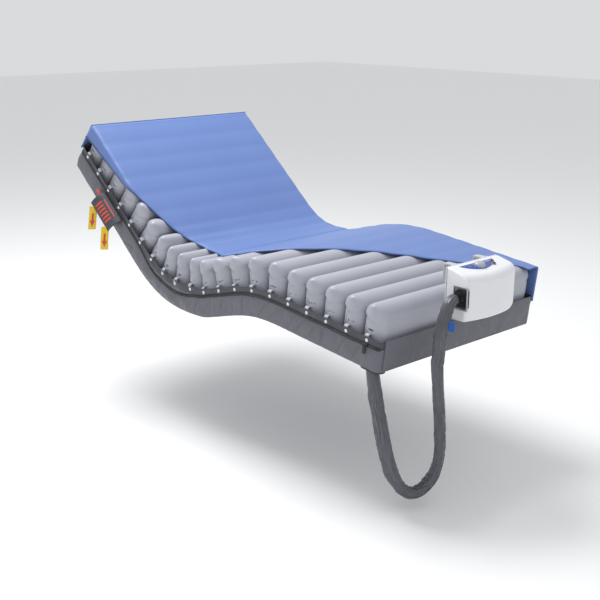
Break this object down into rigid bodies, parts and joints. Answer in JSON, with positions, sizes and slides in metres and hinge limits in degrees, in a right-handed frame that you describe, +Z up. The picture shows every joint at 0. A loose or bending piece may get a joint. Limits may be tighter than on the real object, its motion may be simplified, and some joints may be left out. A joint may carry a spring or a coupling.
{
  "type": "pressure relief mattress",
  "caption": "Alternating-pressure air mattress in a profiled ward-bed position, with its cover turned back, hook-on pump and sleeved air hose.",
  "frame": {"origin": "centre of the flat underside of the seat section, where the mattress rests on the bed", "axes": "+X towards the foot end, +Z up, -Y towards the side with the deflation strap"},
  "size_m": [2.0939, 0.966, 1.2127],
  "materials": {
    "cell_nylon": "satin",
    "base_nylon": "matte",
    "stud": "gloss",
    "cover_fabric": "satin",
    "clear_tube": "gloss",
    "valve_plastic": "satin",
    "red_plastic": "satin",
    "yellow_webbing": "matte",
    "zip_metal": "satin",
    "hose_sleeve": "matte",
    "black_plastic": "satin",
    "blue_tag": "matte",
    "pump_shell": "satin",
    "panel_blue": "satin",
    "knob_grey": "satin",
    "hook_plastic": "satin",
    "compressor_metal": "satin",
    "board_green": "satin",
    "rubber_black": "matte",
    "filter_grey": "matte",
    "screw_steel": "satin"
  },
  "bodies": {
    "seat": {"base_seat": "base_nylon", "studs_seat": "stud", "cover_seat": "cover_fabric", "cell_09": "cell_nylon", "cell_10": "cell_nylon", "air_line_a": "clear_tube", "air_line_b": "clear_tube", "hose": "hose_sleeve", "hose_connector": "black_plastic", "hose_tag": "blue_tag", "pump_front": "pump_shell", "pump_back": "pump_shell", "pump_panel": "panel_blue", "compressor": "compressor_metal", "rotary_valve": "valve_plastic", "circuit_board": "board_green", "power_inlet": "black_plastic", "rubber_mounts": "rubber_black", "filter_cover": "filter_grey", "pump_screws": "screw_steel"},
    "back": {"base_back": "base_nylon", "studs_back": "stud", "cover_back": "cover_fabric", "cell_01": "cell_nylon", "cell_02": "cell_nylon", "cell_03": "cell_nylon", "cell_04": "cell_nylon", "cell_05": "cell_nylon", "cell_06": "cell_nylon", "cell_07": "cell_nylon", "cell_08": "cell_nylon", "deflation_valve": "valve_plastic"},
    "thigh": {"base_thigh": "base_nylon", "studs_thigh": "stud", "cover_thigh": "cover_fabric", "cell_11": "cell_nylon", "cell_12": "cell_nylon", "cell_13": "cell_nylon"},
    "calf": {"base_calf": "base_nylon", "studs_calf": "stud", "cover_calf": "cover_fabric", "hose_inlet": "base_nylon", "cell_14": "cell_nylon", "cell_15": "cell_nylon", "cell_16": "cell_nylon", "cell_17": "cell_nylon", "cell_18": "cell_nylon", "cell_19": "cell_nylon", "cell_20": "cell_nylon"},
    "deflation_pull": {"deflation_plugs": "red_plastic", "deflation_strap": "base_nylon", "pull_tabs": "yellow_webbing"},
    "zip_slider": {"zip_slider": "zip_metal"},
    "comfort_knob": {"pump_knob": "knob_grey"},
    "power_button": {"pump_button_power": "black_plastic"},
    "lock_button": {"pump_button_lock": "black_plastic"},
    "power_switch": {"power_switch": "black_plastic"},
    "hook_near": {"hook_near": "hook_plastic"},
    "hook_far": {"hook_far": "hook_plastic"}
  },
  "joints": [
    {"name": "back_hinge", "type": "hinge", "parent": "seat", "child": "back", "pos_m": [-0.25843, 0, 0], "axis": [0, 1, 0], "range_deg": [-40.5, 24.5], "deforming": ["cover_back", "cover_seat", "cell_08", "cell_09", "air_line_a", "air_line_b"]},
    {"name": "thigh_hinge", "type": "hinge", "parent": "seat", "child": "thigh", "pos_m": [0.05417, 0, 0], "axis": [0, -1, 0], "range_deg": [-15.5, 9.5], "deforming": ["cover_thigh", "cell_10", "cell_11"]},
    {"name": "knee_hinge", "type": "hinge", "parent": "thigh", "child": "calf", "pos_m": [0.37391, 0, 0.08867], "axis": [0, -1, 0], "range_deg": [-13.2, 21.5], "deforming": ["cover_calf", "cell_13", "cell_14"]},
    {"name": "deflation_pull", "type": "slide", "parent": "back", "child": "deflation_pull", "axis": [0, -1, 0], "range_m": [0, 0.04]},
    {"name": "zip_slide", "type": "slide", "parent": "calf", "child": "zip_slider", "axis": [0.9945, 0, -0.1045], "range_m": [-0.3, 0]},
    {"name": "knob_turn", "type": "hinge", "parent": "seat", "child": "comfort_knob", "pos_m": [1.13857, -0.043, 0.35896], "axis": [0.2588, 0, 0.9659], "range_deg": [-135, 135]},
    {"name": "power_press", "type": "slide", "parent": "seat", "child": "power_button", "axis": [-0.2588, 0, -0.9659], "range_m": [0, 0.0015], "stiffness_N_per_m": 600, "springref_m": -0.0005},
    {"name": "lock_press", "type": "slide", "parent": "seat", "child": "lock_button", "axis": [-0.2588, 0, -0.9659], "range_m": [0, 0.0015], "stiffness_N_per_m": 600, "springref_m": -0.0005},
    {"name": "switch_rock", "type": "hinge", "parent": "seat", "child": "power_switch", "pos_m": [1.12857, 0.111, 0.222], "axis": [0, 0, 1], "range_deg": [0, 12]},
    {"name": "hook_near_fold", "type": "hinge", "parent": "seat", "child": "hook_near", "pos_m": [1.08657, -0.115, 0.361], "axis": [0, 1, 0], "range_deg": [0, 80]},
    {"name": "hook_far_fold", "type": "hinge", "parent": "seat", "child": "hook_far", "pos_m": [1.08657, 0.055, 0.361], "axis": [0, 1, 0], "range_deg": [0, 80]}
  ],
  "couplings": [
    {"joint": "knee_hinge", "follows": "thigh_hinge", "ratio": -1.387}
  ]
}
